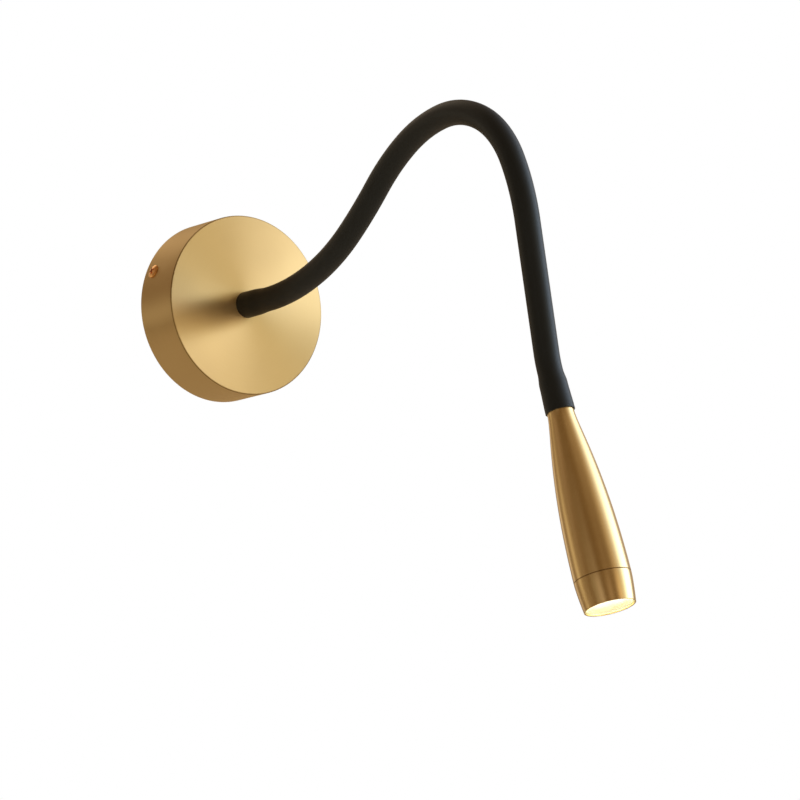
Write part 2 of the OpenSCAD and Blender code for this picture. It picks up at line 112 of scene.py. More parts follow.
# Soft lights round the lamp: name, degrees right and up (see pointing), width in degrees, tint, strength.
# They are far off, and the camera sees the plain backdrop.
studioSet = {
    "lights": [
        ("keyRight", 60, 11, 13, (0.72, 0.84, 1.0), 3.35),
        ("keyFarRight", 80, 10, 13, (0.78, 0.88, 1.0), 3.50),
        ("keyHigh", 60, 34, 18, (0.80, 0.88, 1.0), 1.50),
        ("keyHighRight", 90, 34, 18, (0.86, 0.91, 1.0), 1.60),
        ("frontRight", 40, 3, 13, (0.92, 1.0, 0.70), 1.00),
        ("front", 20, 3, 13, (1.0, 0.76, 0.46), 1.20),
        ("frontLow", 30, -30, 18, (1.0, 0.82, 0.84), 2.50),
        ("frontHigh", 30, 34, 18, (1.0, 0.84, 0.60), 0.30),
        ("frontLeft", -20, 3, 13, (1.0, 0.79, 0.60), 0.43),
        ("left", -60, 3, 13, (1.0, 0.89, 0.78), 0.52),
        ("farLeft", -80, 3, 13, (1.0, 0.95, 0.78), 0.20),
        ("sideLeft", -115, 3, 13, (1.0, 0.90, 0.72), 0.14),
        ("backLeft", -142, 3, 13, (1.0, 0.87, 0.64), 0.66),
        ("behind", 178, 3, 13, (1.0, 0.88, 0.72), 0.62),
        ("leftHigh", -120, 34, 18, (1.0, 0.80, 0.66), 0.24),
        ("backHigh", 175, 38, 20, (1.0, 0.82, 0.62), 1.05),
        ("backLow", 165, -38, 20, (1.0, 0.84, 0.62), 0.60),
        ("backRight", 125, 10, 18, (1.0, 0.86, 0.66), 0.45),
        ("top", 0, 66, 24, (1.0, 0.80, 0.58), 0.33)],
    "fill": (0.17, 0.095, 0.035), "backdrop": (1.0, 1.0, 1.0, 1.0),
}


# How strongly one soft light shines from a direction
def softLightGroup():
    g, n, l, a, b = newGroup("softLight", [
        ("Vector", "NodeSocketVector", None), ("Toward", "NodeSocketVector", (0, 0, 1)),
        ("Tightness", "NodeSocketFloat", 20.0)],
        [("Level", "NodeSocketFloat")])
    near = operator(n, "VectorMath", "DOT_PRODUCT")
    l.new(a.outputs["Vector"], near.inputs[0])
    l.new(a.outputs["Toward"], near.inputs[1])
    off = operator(n, "Math", "SUBTRACT")
    off.inputs[1].default_value = 1
    l.new(near.outputs["Value"], off.inputs[0])
    tight = operator(n, "Math", "MULTIPLY")
    l.new(off.outputs[0], tight.inputs[0])
    l.new(a.outputs["Tightness"], tight.inputs[1])
    level = operator(n, "Math", "EXPONENT")
    l.new(tight.outputs[0], level.inputs[0])
    l.new(level.outputs[0], b.inputs["Level"])
    return g


def makeStudio(s):
    world = bpy.data.worlds.new("studio")
    scene.world = world
    world.use_nodes = True
    n, l = world.node_tree.nodes, world.node_tree.links
    n.clear()
    where = n.new("ShaderNodeTexCoord")
    group, total = softLightGroup(), None
    for name, azimuth, elevation, width, tint, strength in s["lights"]:
        light = n.new("ShaderNodeGroup")
        light.node_tree, light.label = group, name
        light.inputs["Toward"].default_value = pointing(azimuth, elevation)
        light.inputs["Tightness"].default_value = 1 / (1 - math.cos(math.radians(width)))
        l.new(where.outputs["Generated"], light.inputs["Vector"])
        add = operator(n, "VectorMath", "MULTIPLY_ADD")
        l.new(light.outputs["Level"], add.inputs[0])
        add.inputs[1].default_value = [c * strength for c in tint]
        if total:
            l.new(total, add.inputs[2])
        else:
            add.inputs[2].default_value = s["fill"]
        total = add.outputs[0]
    lit, plain = n.new("ShaderNodeBackground"), n.new("ShaderNodeBackground")
    l.new(total, lit.inputs["Color"])
    plain.inputs["Color"].default_value = s["backdrop"]
    path = n.new("ShaderNodeLightPath")
    mix = n.new("ShaderNodeMixShader")
    l.new(path.outputs["Is Camera Ray"], mix.inputs[0])
    l.new(lit.outputs[0], mix.inputs[1])
    l.new(plain.outputs[0], mix.inputs[2])
    out = n.new("ShaderNodeOutputWorld")
    l.new(mix.outputs[0], out.inputs["Surface"])


# Mesh points nearer than these (m) are one: twins left by a spin, and the seam of a closed sweep
twinGap, seamGap = 1e-7, 3e-6
cornerAngle = 28                                           # edges bent further (degrees) stay sharp
uvScale = 10                                               # UV lengths for each metre of outline


def markCorners(bm, corner):
    for e in bm.edges:
        e.smooth = len(e.link_faces) != 2 or e.calc_face_angle(0) < math.radians(corner)


# Ends a mesh: closes its seams, turns its faces outwards and keeps its corners sharp
def meshObject(name, bm, corner=cornerAngle):
    bmesh.ops.remove_doubles(bm, verts=bm.verts, dist=seamGap)
    bmesh.ops.recalc_face_normals(bm, faces=bm.faces)
    for f in bm.faces:
        f.smooth = True
    markCorners(bm, corner)
    data = bpy.data.meshes.new(name)
    bm.to_mesh(data)
    bm.free()
    obj = bpy.data.objects.new(name, data)
    scene.collection.objects.link(obj)
    return obj


# UVs for the tangent of turned metal: once round local Z, and along the outline by height less radius
def wrapRound(bm):
    uv = bm.loops.layers.uv.new("UVMap")
    for f in bm.faces:
        mid = f.calc_center_median()
        here = math.atan2(mid.y, mid.x)
        for loop in f.loops:
            x, y, z = loop.vert.co
            turn = math.atan2(y, x) if math.hypot(x, y) > twinGap else here
            turn -= math.tau * round((turn - here) / math.tau)
            loop[uv].uv = (turn / math.tau, (z - math.hypot(x, y)) * uvScale)


# Spins an outline of (radius, height) pairs round local Z. A ring is closed on itself, and the outline
# of anything else starts and ends on the axis.
def lathe(outline, steps, ring=True):
    bm = bmesh.new()
    verts = [bm.verts.new((r, 0, z)) for r, z in outline]
    edges = [bm.edges.new(pair) for pair in zip(verts, verts[1:])]
    if ring:
        edges.append(bm.edges.new((verts[-1], verts[0])))
    bmesh.ops.spin(bm, geom=verts + edges, axis=(0, 0, 1), cent=(0, 0, 0), angle=math.tau,
                   steps=steps, use_merge=True)
    bmesh.ops.remove_doubles(bm, verts=bm.verts, dist=twinGap)
    wrapRound(bm)
    return bm


def placed(name, bm, place, corner=cornerAngle):
    bmesh.ops.transform(bm, matrix=place, verts=bm.verts)
    return meshObject(name, bm, corner)


# Points on an arc that rounds a corner of an outline
def rounded(corner, start, end, radius, steps):
    c, a, b = Vector(corner), Vector(start), Vector(end)
    u, v = (a - c).normalized(), (b - c).normalized()
    half = math.acos(max(-1, min(1, u.dot(v)))) / 2
    mid = c + (u + v).normalized() * radius / math.sin(half)
    p, q = c + u * radius / math.tan(half) - mid, c + v * radius / math.tan(half) - mid
    turn = math.atan2(p.x * q.y - p.y * q.x, p.dot(q))
    return [tuple(mid + Matrix.Rotation(turn * i / steps, 2) @ p) for i in range(steps + 1)]


# Point at t (0 to 1) of the Bezier curve that has these control points
def curvePoint(points, t):
    points = [Vector(p) for p in points]
    while len(points) > 1:
        points = [a.lerp(b, t) for a, b in zip(points, points[1:])]
    return tuple(points[0])


# Takes the cutters' shapes out of a piece
def cutOut(piece, cutters):
    for bm in cutters:
        tool = meshObject("cutter", bm)
        carve = piece.modifiers.new("carve", "BOOLEAN")
        carve.operation, carve.solver, carve.object = "DIFFERENCE", "EXACT", tool
        depsgraph = bpy.context.evaluated_depsgraph_get()
        carved = bpy.data.meshes.new_from_object(piece.evaluated_get(depsgraph))
        piece.modifiers.clear()
        piece.data = carved
        bpy.data.objects.remove(tool)
    bm = bmesh.new()
    bm.from_mesh(piece.data)
    markCorners(bm, cornerAngle)
    bm.to_mesh(piece.data)
    bm.free()


def newMaterial(name, color, roughness, metallic=0.0, **sockets):
    mat = bpy.data.materials.new(name)
    mat.use_nodes = True
    n, l = mat.node_tree.nodes, mat.node_tree.links
    skin = n["Principled BSDF"]
    skin.inputs["Base Color"].default_value = (*color, 1)
    skin.inputs["Roughness"].default_value = roughness
    skin.inputs["Metallic"].default_value = metallic
    for socket, value in sockets.items():
        skin.inputs[socket.replace("_", " ")].default_value = value
    return mat, n, l, skin


def dress(obj, mat):
    obj.data.materials.clear()
    obj.data.materials.append(mat)


def finishPiece(piece, mat, body, slot, *nodes):
    dress(piece, mat)
    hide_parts(*nodes)
    if body:
        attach(piece, body)


def mixColors(n, l, factor, first, second):
    mix = n.new("ShaderNodeMix")
    mix.data_type = "RGBA"
    l.new(factor, mix.inputs["Factor"])
    mix.inputs["A"].default_value = (*first, 1)
    mix.inputs["B"].default_value = (*second, 1)
    return mix.outputs["Result"]


# Stretches a value from one span to another. A noise keeps mostly to the span given here.
def spread(n, l, value, low, high, fromLow=0.3, fromHigh=0.7):
    node = n.new("ShaderNodeMapRange")
    node.inputs["From Min"].default_value, node.inputs["From Max"].default_value = fromLow, fromHigh
    node.inputs["To Min"].default_value, node.inputs["To Max"].default_value = low, high
    l.new(value, node.inputs["Value"])
    return node.outputs[0]


floorSet = {
    "height": -3.05, "size": 24.6, "color": (0.82, 0.72, 0.54), "roughness": 0.8,
    "seen": (0.90, 0.90, 0.895), "far": (1, 1, 1), "fadeFrom": 5.0, "fadeTo": 12.4,
}


# A pale floor well below the lamp. The camera sees it evenly lit and fading into the backdrop.
def makeFloor(s):
    bm = bmesh.new()
    bmesh.ops.create_grid(bm, x_segments=1, y_segments=1, size=s["size"] / 2)
    bmesh.ops.translate(bm, verts=bm.verts, vec=(0, 0, s["height"]))
    floor = meshObject("floor", bm)
    mat, n, l, skin = newMaterial("floorPaint", s["color"], s["roughness"])
    where, away = n.new("ShaderNodeTexCoord"), operator(n, "VectorMath", "LENGTH")
    l.new(where.outputs["Object"], away.inputs[0])
    fade = spread(n, l, away.outputs["Value"], 0.0, 1.0, s["fadeFrom"], s["fadeTo"])
    seen, path, mix = (n.new("ShaderNode" + kind) for kind in ("Emission", "LightPath", "MixShader"))
    l.new(mixColors(n, l, fade, s["seen"], s["far"]), seen.inputs["Color"])
    l.new(path.outputs["Is Camera Ray"], mix.inputs[0])
    l.new(skin.outputs[0], mix.inputs[1])
    l.new(seen.outputs[0], mix.inputs[2])
    l.new(mix.outputs[0], n["Material Output"].inputs["Surface"])
    dress(floor, mat)


makeCamera(cameraSet)
makeStudio(studioSet)
makeFloor(floorSet)
print("camera, studio and floor ready")


# Fine lines left by the tool on a turned piece, in a frame whose Z is the turning axis
def turnedLinesGroup():
    g, n, l, a, b = newGroup("turnedLines", [
        ("Vector", "NodeSocketVector", None), ("Lines", "NodeSocketFloat", 4000.0),
        ("Length", "NodeSocketFloat", 30.0)],
        [("Lines", "NodeSocketFloat"), ("Drift", "NodeSocketFloat")])
    split = n.new("ShaderNodeSeparateXYZ")
    l.new(a.outputs["Vector"], split.inputs[0])
    flat, radius = flattened(n, l, a.outputs["Vector"])
    run = operator(n, "Math", "SUBTRACT")
    l.new(split.outputs["Z"], run.inputs[0])
    l.new(radius, run.inputs[1])
    fine = operator(n, "Math", "MULTIPLY")
    l.new(run.outputs[0], fine.inputs[0])
    l.new(a.outputs["Lines"], fine.inputs[1])
    slow = operator(n, "VectorMath", "SCALE")
    l.new(flat, slow.inputs[0])
    l.new(a.outputs["Length"], slow.inputs["Scale"])
    noise = n.new("ShaderNodeTexNoise")
    noise.noise_dimensions = "4D"
    noise.inputs["Scale"].default_value = 1.0
    noise.inputs["Detail"].default_value = 3.0
    l.new(slow.outputs[0], noise.inputs["Vector"])
    l.new(fine.outputs[0], noise.inputs["W"])
    drift = n.new("ShaderNodeTexNoise")
    drift.inputs["Scale"].default_value = 22.0
    drift.inputs["Detail"].default_value = 2.0
    l.new(a.outputs["Vector"], drift.inputs["Vector"])
    l.new(noise.outputs["Fac"], b.inputs["Lines"])
    l.new(drift.outputs["Fac"], b.inputs["Drift"])
    return g


# Small even grain of moulded rubber and plastic, with slow unevenness
def mouldGrainGroup():
    g, n, l, a, b = newGroup("mouldGrain", [
        ("Vector", "NodeSocketVector", None), ("Grain", "NodeSocketFloat", 1500.0),
        ("Cloud", "NodeSocketFloat", 40.0)],
        [("Grain", "NodeSocketFloat"), ("Cloud", "NodeSocketFloat")])
    fine = n.new("ShaderNodeTexNoise")
    fine.inputs["Detail"].default_value = 4.0
    l.new(a.outputs["Vector"], fine.inputs["Vector"])
    l.new(a.outputs["Grain"], fine.inputs["Scale"])
    slow = n.new("ShaderNodeTexNoise")
    slow.inputs["Detail"].default_value = 2.0
    l.new(a.outputs["Vector"], slow.inputs["Vector"])
    l.new(a.outputs["Cloud"], slow.inputs["Scale"])
    l.new(fine.outputs["Fac"], b.inputs["Grain"])
    l.new(slow.outputs["Fac"], b.inputs["Cloud"])
    return g


lineCore = 0.45                                            # share of a dark line's width without any fade


# Painted shade: a darkened line round a turned piece, by its radius and height, standing in for shade at a
# seam and dark reflection at an edge
def paintedShadeLineGroup():
    g, n, l, a, b = newGroup("paintedShadeLine", [
        ("Vector", "NodeSocketVector", None), ("Radius", "NodeSocketFloat", 0.05),
        ("Height", "NodeSocketFloat", 0.03), ("Width", "NodeSocketFloat", 0.001)],
        [("Mask", "NodeSocketFloat")])
    split = n.new("ShaderNodeSeparateXYZ")
    l.new(a.outputs["Vector"], split.inputs[0])
    radius = flattened(n, l, a.outputs["Vector"])[1]
    here, line = n.new("ShaderNodeCombineXYZ"), n.new("ShaderNodeCombineXYZ")
    l.new(radius, here.inputs["X"])
    l.new(split.outputs["Z"], here.inputs["Z"])
    l.new(a.outputs["Radius"], line.inputs["X"])
    l.new(a.outputs["Height"], line.inputs["Z"])
    away = operator(n, "VectorMath", "DISTANCE")
    l.new(here.outputs[0], away.inputs[0])
    l.new(line.outputs[0], away.inputs[1])
    core = operator(n, "Math", "MULTIPLY")
    core.inputs[1].default_value = lineCore
    l.new(a.outputs["Width"], core.inputs[0])
    fade = n.new("ShaderNodeMapRange")
    fade.interpolation_type = "SMOOTHSTEP"
    fade.inputs["To Min"].default_value, fade.inputs["To Max"].default_value = 1, 0
    l.new(away.outputs["Value"], fade.inputs["Value"])
    l.new(core.outputs[0], fade.inputs["From Min"])
    l.new(a.outputs["Width"], fade.inputs["From Max"])
    l.new(fade.outputs[0], b.inputs["Mask"])
    return g


groups = {"turned": turnedLinesGroup(), "grain": mouldGrainGroup(), "line": paintedShadeLineGroup()}


# Object coordinates, turned so that local Z runs along the piece's axis
def pieceCoords(n, l, place=None):
    where = n.new("ShaderNodeTexCoord")
    if place is None:
        return where.outputs["Object"]
    inverse = place.inverted()
    turn = n.new("ShaderNodeMapping")
    turn.inputs["Location"].default_value = inverse.translation
    turn.inputs["Rotation"].default_value = inverse.to_euler()
    l.new(where.outputs["Object"], turn.inputs["Vector"])
    return turn.outputs[0]


def groupNode(n, key, **values):
    node = n.new("ShaderNodeGroup")
    node.node_tree = groups[key]
    for socket, value in values.items():
        node.inputs[socket].default_value = value
    return node


def bump(n, l, skin, height, strength, distance):
    node = n.new("ShaderNodeBump")
    node.inputs["Strength"].default_value = strength
    node.inputs["Distance"].default_value = distance
    l.new(height, node.inputs["Height"])
    l.new(node.outputs[0], skin.inputs["Normal"])


# How far slow drift moves the roughness of turned metal and grain that of moulded skin, and the height (m)
# of the fine relief of each
driftRange, lineRelief = (-0.02, 0.03), 0.00002
grainRange, grainRelief = (-0.06, 0.06), 0.00005


# Satin metal turned on a lathe: its lines run round the axis and draw the highlights out across them. A
# painted shade line darkens its colour at one edge or seam.
def turnedMetal(name, place, s):
    mat, n, l, skin = newMaterial(name, s["light"], s["roughness"], 1.0, Anisotropic=s["stretch"],
                                  Anisotropic_Rotation=s["stretchTurn"])
    around = n.new("ShaderNodeTangent")
    around.direction_type, around.uv_map = "UV_MAP", "UVMap"
    l.new(around.outputs[0], skin.inputs["Tangent"])
    lines = groupNode(n, "turned", Lines=s["lines"], Length=s["lineLength"])
    where = pieceCoords(n, l, place)
    l.new(where, lines.inputs["Vector"])
    # Painted shade: the line's mask mixes the shade colour into the brass
    radius, height, width, depth = s["paintedShadeLine"]
    line = groupNode(n, "line", Radius=radius, Height=height, Width=width)
    l.new(where, line.inputs["Vector"])
    paintedShadeMask = spread(n, l, line.outputs["Mask"], 0.0, depth, 0.0, 1.0)
    brass = mixColors(n, l, paintedShadeMask, s["light"], s["paintedShade"])
    l.new(mixColors(n, l, lines.outputs["Lines"], s["dark"], s["light"]), brass.node.inputs["A"])
    l.new(brass, skin.inputs["Base Color"])
    rough = operator(n, "Math", "ADD")
    l.new(spread(n, l, lines.outputs["Lines"], -s["roughSpread"], s["roughSpread"]), rough.inputs[0])
    low, high = (s["roughness"] + change for change in driftRange)
    l.new(spread(n, l, lines.outputs["Drift"], low, high), rough.inputs[1])
    l.new(rough.outputs[0], skin.inputs["Roughness"])
    bump(n, l, skin, lines.outputs["Lines"], s["bump"], lineRelief)
    return mat


# Moulded, cast or plated skin: grain and clouds over two colours
def grainedSkin(name, s):
    mat, n, l, skin = newMaterial(name, s["color"], s["roughness"], s.get("metallic", 0.0),
                                  Specular_Tint=s.get("tint", (1, 1, 1, 1)))
    grain = groupNode(n, "grain", Grain=s["grain"], Cloud=s["cloud"])
    l.new(pieceCoords(n, l), grain.inputs["Vector"])
    clouds = spread(n, l, grain.outputs["Cloud"], 0.0, 1.0)
    l.new(mixColors(n, l, clouds, s["dark"], s["color"]), skin.inputs["Base Color"])
    low, high = (s["roughness"] + change for change in grainRange)
    l.new(spread(n, l, grain.outputs["Grain"], low, high), skin.inputs["Roughness"])
    bump(n, l, skin, grain.outputs["Grain"], s["bump"], grainRelief)
    return mat


outward = Matrix.Rotation(math.radians(90), 4, "X")        # local Z straight out from the wall

plateSet = {
    "radius": 0.050, "depth": 0.030, "wall": 0.002, "face": 0.002, "hole": 0.0052, "edge": 0.0006,
    "screwTilt": 26, "screwHeight": 0.008, "screwHole": 0.0022, "headHole": 0.0040, "cone": 0.0015,
    "cutterBack": 0.003, "cutterFront": 0.001, "steps": 192, "holeSteps": 48, "edgeSteps": 5,
    "finish": {
        "dark": (0.74, 0.565, 0.285), "light": (0.79, 0.615, 0.325),
        "roughness": 0.37, "roughSpread": 0.02, "stretch": 0.95, "stretchTurn": 0.25,
        "lines": 5200.0, "lineLength": 35.0, "bump": 0.05,
        # Painted dark reflection on the rounded edge of the face: the shade colour and the line below
        "paintedShade": (0.26, 0.155, 0.055),
        "paintedShadeLine": (0.0502, 0.0302, 0.0011, 0.75)},       # radius, height, width, depth of tone
}


# Local Z straight out through one of the side screws, zero on the plate's round side
def sideScrewFrame(turn, s=plateSet):
    spin = Matrix.Rotation(math.radians(180 - s["screwTilt"] + turn), 4, "Z")
    return (outward @ spin @ Matrix.Translation((0, 0, s["screwHeight"]))
            @ Matrix.Rotation(math.radians(90), 4, "Y") @ Matrix.Translation((0, 0, s["radius"])))


def makePlate(s):
    r, d = s["radius"], s["depth"]
    outline = [(s["hole"], d - s["face"]), (r - s["wall"], d - s["face"]), (r - s["wall"], 0), (r, 0)]
    outline += rounded((r, d), (r, 0), (0, d), s["edge"], s["edgeSteps"]) + [(s["hole"], d)]
    plate = placed("wallPlate", lathe(outline, s["steps"]), outward)
    hole, head, back, front = s["screwHole"], s["headHole"], -s["cutterBack"], s["cutterFront"]
    countersink = [(0, back), (hole, back), (hole, -s["cone"]), (head, 0), (head, front), (0, front)]
    cutters = []
    for turn in (0, 180):
        bm = lathe(countersink, s["holeSteps"], False)
        bmesh.ops.transform(bm, matrix=sideScrewFrame(turn), verts=bm.verts)
        cutters.append(bm)
    cutOut(plate, cutters)
    finishPiece(plate, turnedMetal("plateBrass", outward, s["finish"]), "base", "plate_brass", "wall_plate")


makePlate(plateSet)
print("wall plate ready")


# Tip width and bevel are shares of the shaft's radius
screwSet = {
    "shaft": 0.0020, "length": 0.0100, "head": 0.0038, "cone": 0.0015, "side": 0.0006, "dome": 0.0011,
    "tipWidth": 0.7, "tipBevel": 0.3, "domeSteps": 8, "steps": 48,
    "slot": 0.0042, "slotWidth": 0.0009, "slotDepth": 0.0013, "slotTurn": 20,
    "finish": {"color": (0.98, 0.60, 0.27), "dark": (0.90, 0.48, 0.18), "roughness": 0.20, "metallic": 1.0,
               "grain": 900.0, "cloud": 500.0, "bump": 0.05},
}


def makeSideScrews(s):
    domeRadius = (s["head"] ** 2 + s["dome"] ** 2) / (2 * s["dome"])
    reach, count = math.asin(s["head"] / domeRadius), s["domeSteps"]
    tip, top = -s["cone"] - s["length"], s["side"] + s["dome"]
    outline = [(0, tip), (s["shaft"] * s["tipWidth"], tip), (s["shaft"], tip + s["shaft"] * s["tipBevel"]),
               (s["shaft"], -s["cone"]), (s["head"], 0), (s["head"], s["side"])]
    angles = [reach * t / count for t in range(count - 1, -1, -1)]
    outline += [(domeRadius * math.sin(a), top - domeRadius * (1 - math.cos(a))) for a in angles]
    both = bmesh.new()
    for turn in (0, 180):
        screw = meshObject("screw", lathe(outline, s["steps"], False))
        cutters = []
        for side in (0, 90):
            bm = bmesh.new()
            bmesh.ops.create_cube(bm, size=1)
            bmesh.ops.scale(bm, vec=(s["slot"], s["slotWidth"], s["slotDepth"] * 2), verts=bm.verts)
            turned = Matrix.Rotation(math.radians(side + s["slotTurn"]), 4, "Z")
            bmesh.ops.transform(bm, matrix=Matrix.Translation((0, 0, top)) @ turned, verts=bm.verts)
            cutters.append(bm)
        cutOut(screw, cutters)
        screw.data.transform(sideScrewFrame(turn))
        both.from_mesh(screw.data)
        bpy.data.objects.remove(screw)
    pair = meshObject("sideScrews", both)
    finishPiece(pair, grainedSkin("copperScrew", s["finish"]), "base", "copper_screw", "side_screws")


makeSideScrews(screwSet)
print("side screws ready")


# Runs are measured along the neck from its start: bends are the degrees turned in each of the twelve
# lengths, and the sleeve's radii are given at runs from that start and, near the head, from the neck's end.
neckSet = {
    "pitch": 0.0348, "root": 0.0174, "tip": 0.01044, "rootFitting": 0.020, "headFitting": 0.022,
    "start": -0.050, "bends": (6.5, 12, 13.5, 6, -13.5, -19.5, -33, -39.5, -18, 0, 0, 9.5),
    "joints": 11, "sides": 64, "step": 0.0011, "cut": 0.00015, "corner": 40,
    "outside": ((-0.020, 0.0073), (-0.010, 0.00725), (0.0, 0.00665)),
    "headOutside": ((0.0, 0.00665), (0.007, 0.00735), (0.022, 0.00775)),
    "inside": ((-0.020, 0.0063), (-0.001, 0.0063), (0.0, 0.0053)),
    "headInside": ((0.0, 0.0053), (0.006, 0.0067), (0.022, 0.0067)),
    "finish": {"color": (0.0085, 0.0118, 0.0170), "dark": (0.0072, 0.0102, 0.0148), "roughness": 0.50,
               "tint": (0.76, 0.90, 1.0, 1), "grain": 2600.0, "cloud": 60.0, "bump": 0.10},
}


# Place and heading (degrees above straight out) on the neck's centre line. The run starts where the
# straight fitting at the plate ends, and it may lie before that start or past the last bend.
def neckAt(run, s=neckSet):
    def ahead(deg):
        return Vector((0, -math.cos(math.radians(deg)), math.sin(math.radians(deg))))
    place, heading = Vector((0, s["start"], 0)), 0.0
    straight, spent = 1e-6, 1e-9                           # degrees of bend, metres of run that count as none
    lengths = [s["root"]] + [s["pitch"]] * (s["joints"] - 1) + [s["tip"]]
    if run <= 0:
        return place + ahead(0) * run, 0.0
    for length, bend in zip(lengths, s["bends"]):
        part = min(run, length)
        turn = bend * part / length
        chord = part
        if abs(turn) >= straight:
            chord = 2 * part * math.sin(math.radians(turn / 2)) / math.radians(turn)
        place = place + ahead(heading + turn / 2) * chord
        heading += turn
        run -= part
        if run <= spent:
            return place, heading
    return place + ahead(heading) * run, heading


# Local Z along the neck, local X to the side, local Y on its upper side
def neckFrame(run):
    place, heading = neckAt(run)
    h = math.radians(heading)
    along = Vector((0, -math.cos(h), math.sin(h)))
    over = Vector((0, math.sin(h), math.cos(h)))
    return Matrix.Translation(place) @ Matrix((Vector((1, 0, 0)), over, along)).transposed().to_4x4()


neckLength = neckSet["root"] + neckSet["pitch"] * (neckSet["joints"] - 1) + neckSet["tip"]
headFrame = neckFrame(neckLength + neckSet["headFitting"])


# Radius at a run, eased between the marks near the plate and near the head
def sleeveRadius(run, nearPlate, nearHead):
    marks = list(nearPlate) + [(neckLength + at, r) for at, r in nearHead]
    for (a, low), (b, high) in zip(marks, marks[1:]):
        if run <= b:
            t = max(0.0, (run - a) / (b - a))
            return low + (high - low) * t * t * (3 - 2 * t)
    return marks[-1][1]


# Draws a ring along the neck through (run, radius) pairs, out along the sleeve and back down its bore
def drawSleeve(name, section, s):
    bm = bmesh.new()
    run, radius = section[0]
    bmesh.ops.create_circle(bm, segments=s["sides"], radius=radius)
    bmesh.ops.transform(bm, matrix=neckFrame(run), verts=bm.verts)
    edges = bm.edges[:]
    for nextRun, nextRadius in section[1:] + section[:1]:
        grown = bmesh.ops.extrude_edge_only(bm, edges=edges)["geom"]
        edges = [e for e in grown if isinstance(e, bmesh.types.BMEdge)]
        verts = [v for v in grown if isinstance(v, bmesh.types.BMVert)]
        scale = nextRadius / radius
        step = neckFrame(nextRun) @ Matrix.Diagonal((scale, scale, 1, 1)) @ neckFrame(run).inverted()
        bmesh.ops.transform(bm, matrix=step, verts=verts)
        run, radius = nextRun, nextRadius
    return meshObject(name, bm, s["corner"])


def makeSleeve(s):
    skin = grainedSkin("sleeveRubber", s["finish"])
    tip = neckLength + s["headFitting"]
    for k in range(1, s["joints"] + 1):
        low = -s["rootFitting"] if k == 1 else s["pitch"] * (k - 1)
        high = tip if k == s["joints"] else s["pitch"] * k
        count = round((high - low) / s["step"])
        runs = [low + (high - low) * i / count for i in range(count + 1)]
        outside = [(run, sleeveRadius(run, s["outside"], s["headOutside"])) for run in runs]
        inside = [(run, sleeveRadius(run, s["inside"], s["headInside"])) for run in reversed(runs)]
        if k == s["joints"]:                               # the cut end's corner is just broken
            (run, radius), cut = outside[-1], s["cut"]
            outside[-1:] = [(run - cut, radius), (run, radius - cut)]
        piece = drawSleeve(f"neckSleeve{k}", outside + inside, s)
        nodes = ["neck_sleeve_0", "neck_sleeve_1"] if k == 1 else [f"neck_sleeve_{k}"]
        finishPiece(piece, skin, None, "sleeve_rubber", *nodes)
        neckAt(s["pitch"] * (k - 1))[0]
        neckAt(min(neckLength, s["pitch"] * k))[0]
        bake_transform(piece)


makeSleeve(neckSet)
print("neck sleeve ready, head at", [round(v, 4) for v in headFrame.translation])


# Places along the head are measured from its back end. Swell, bend and ease are shares.
headSet = {
    "length": 0.090, "front": 0.106, "radius": 0.01495, "neckRadius": 0.007, "rimRadius": 0.0135,
    "wall": 0.0022, "threadRadius": 0.0136, "threadEnd": 0.097, "bore": 0.0124, "sinkSeat": 0.070,
    "fitting": 0.00505, "cavity": 0.015, "play": 0.00005, "seam": 0.0002, "steps": 128,
    "flare": 0.0002, "swellFrom": 0.1, "swellTo": 0.38, "flankSteps": 60, "ledge": 0.004, "shoulder": 0.001,
    "fittingStop": 0.0015, "ringBend": 0.3, "ringSteps": 24, "rimEase": 0.3,
    "opening": 0.01285, "pocket": 0.01305, "lip": 0.0008, "lens": 0.0018, "gasket": 0.0006, "rim": 0.0001,
    "finish": {
        "dark": (0.74, 0.565, 0.285), "light": (0.78, 0.605, 0.315),
        "roughness": 0.23, "roughSpread": 0.02, "stretch": 0.9, "stretchTurn": 0.25,
        "lines": 4600.0, "lineLength": 60.0, "bump": 0.05,
        # Painted shade in the seam between the shell and the front ring: the shade colour and the line on
        # this line
        "paintedShade": (0.22, 0.13, 0.045), "paintedShadeLine": (0.01495, 0.090, 0.00038, 0.7)},
}


def makeShell(s):
    radius, length, bore, count = s["radius"], s["length"], s["bore"], s["flankSteps"]
    flank = [(s["neckRadius"], 0), (s["neckRadius"] - s["flare"], length * s["swellFrom"]),
             (radius, length * s["swellTo"]), (radius, length)]
    outside = [curvePoint(flank, t / count) for t in range(count)]
    outside += [(radius, length - s["seam"]), (radius - s["seam"], length)]
    ledge, step = s["sinkSeat"] - s["ledge"], bore - s["shoulder"]
    inside = [(s["threadRadius"], length), (s["threadRadius"], s["threadEnd"]), (bore, s["threadEnd"]),
              (bore, s["sinkSeat"]), (step, s["sinkSeat"]), (step, ledge)]
    for r, z in reversed(outside[:count]):
        if s["cavity"] < z < ledge:
            inside.append((min(step, r - s["wall"]), z))
    inside += [(s["fitting"], s["cavity"] - s["fittingStop"]), (s["fitting"], 0)]
    shell = placed("headShell", lathe(outside + inside, s["steps"]), headFrame)
    finishPiece(shell, turnedMetal("headBrass", headFrame, s["finish"]), "head", "head_brass", "head_shell")


